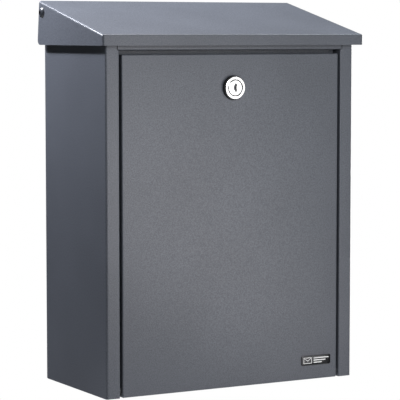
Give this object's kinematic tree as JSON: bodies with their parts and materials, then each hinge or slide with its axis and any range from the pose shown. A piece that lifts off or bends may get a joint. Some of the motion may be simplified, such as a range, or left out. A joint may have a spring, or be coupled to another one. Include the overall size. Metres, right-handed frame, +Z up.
{
  "type": "wall mounted mailbox",
  "caption": "Folded sheet-steel wall mailbox with a sloped lift-up lid over the letter slot, a drop-down front door and a keyed cam lock.",
  "frame": {"origin": "centre of the four wall screw holes, on the wall's face", "axes": "+X to the right as one faces the box, +Y into the wall, +Z up; the front faces -Y"},
  "size_m": [0.3208, 0.1621, 0.4108],
  "materials": {
    "powder_coat": "fine-textured powder coat, anthracite grey",
    "dark_steel": "screw head in the colour of the lid",
    "zinc_steel": "zinc plated",
    "nickel": "polished nickel plate",
    "shutter_steel": "plain spring steel",
    "nylon": "black nylon",
    "gasket_rubber": "matt",
    "badge": "gloss, domed",
    "adhesive": "foam tape"
  },
  "bodies": {
    "casing": {"back_and_floor_panel": "powder_coat", "side_panel_left": "powder_coat", "side_panel_right": "powder_coat", "top_rail": "powder_coat", "slot_plate": "powder_coat", "lid_pivot_screw_left": "dark_steel", "lid_pivot_screw_right": "dark_steel", "lid_pivot_bush_left": "nylon", "lid_pivot_bush_right": "nylon", "lid_pivot_washer_left": "zinc_steel", "lid_pivot_washer_right": "zinc_steel", "lid_pivot_nut_left": "zinc_steel", "lid_pivot_nut_right": "zinc_steel", "door_hinge_pin_left": "zinc_steel", "door_hinge_pin_right": "zinc_steel", "door_hinge_washer_left": "nylon", "door_hinge_washer_right": "nylon"},
    "lid": {"lid_panel": "powder_coat"},
    "door": {"door_panel": "powder_coat", "lock_gasket": "gasket_rubber", "lock_housing": "nickel", "lock_nut": "zinc_steel", "badge_plate": "badge", "badge_adhesive": "adhesive"},
    "lock": {"lock_plug": "nickel", "lock_stop_washer": "zinc_steel", "lock_cam": "zinc_steel", "cam_spring_washer": "zinc_steel", "cam_screw": "zinc_steel"},
    "shutter": {"keyhole_shutter": "shutter_steel"}
  },
  "joints": [
    {"name": "lid_hinge", "type": "hinge", "parent": "casing", "child": "lid", "pos_m": [0, -0.0162, 0.2184], "axis": [-1, 0, 0], "range_deg": [0, 70]},
    {"name": "door_hinge", "type": "hinge", "parent": "casing", "child": "door", "pos_m": [0, -0.1455, -0.173], "axis": [1, 0, 0], "range_deg": [0, 95]},
    {"name": "lock_turn", "type": "hinge", "parent": "door", "child": "lock", "pos_m": [0, -0.1375, 0.139], "axis": [0, -1, 0], "range_deg": [0, 90]},
    {"name": "shutter_hinge", "type": "hinge", "parent": "lock", "child": "shutter", "pos_m": [0.0018, -0.156, 0.139], "axis": [0, 0, -1], "range_deg": [0, 75], "stiffness_Nm_per_rad": 0.00002, "springref_deg": -28.65}
  ]
}
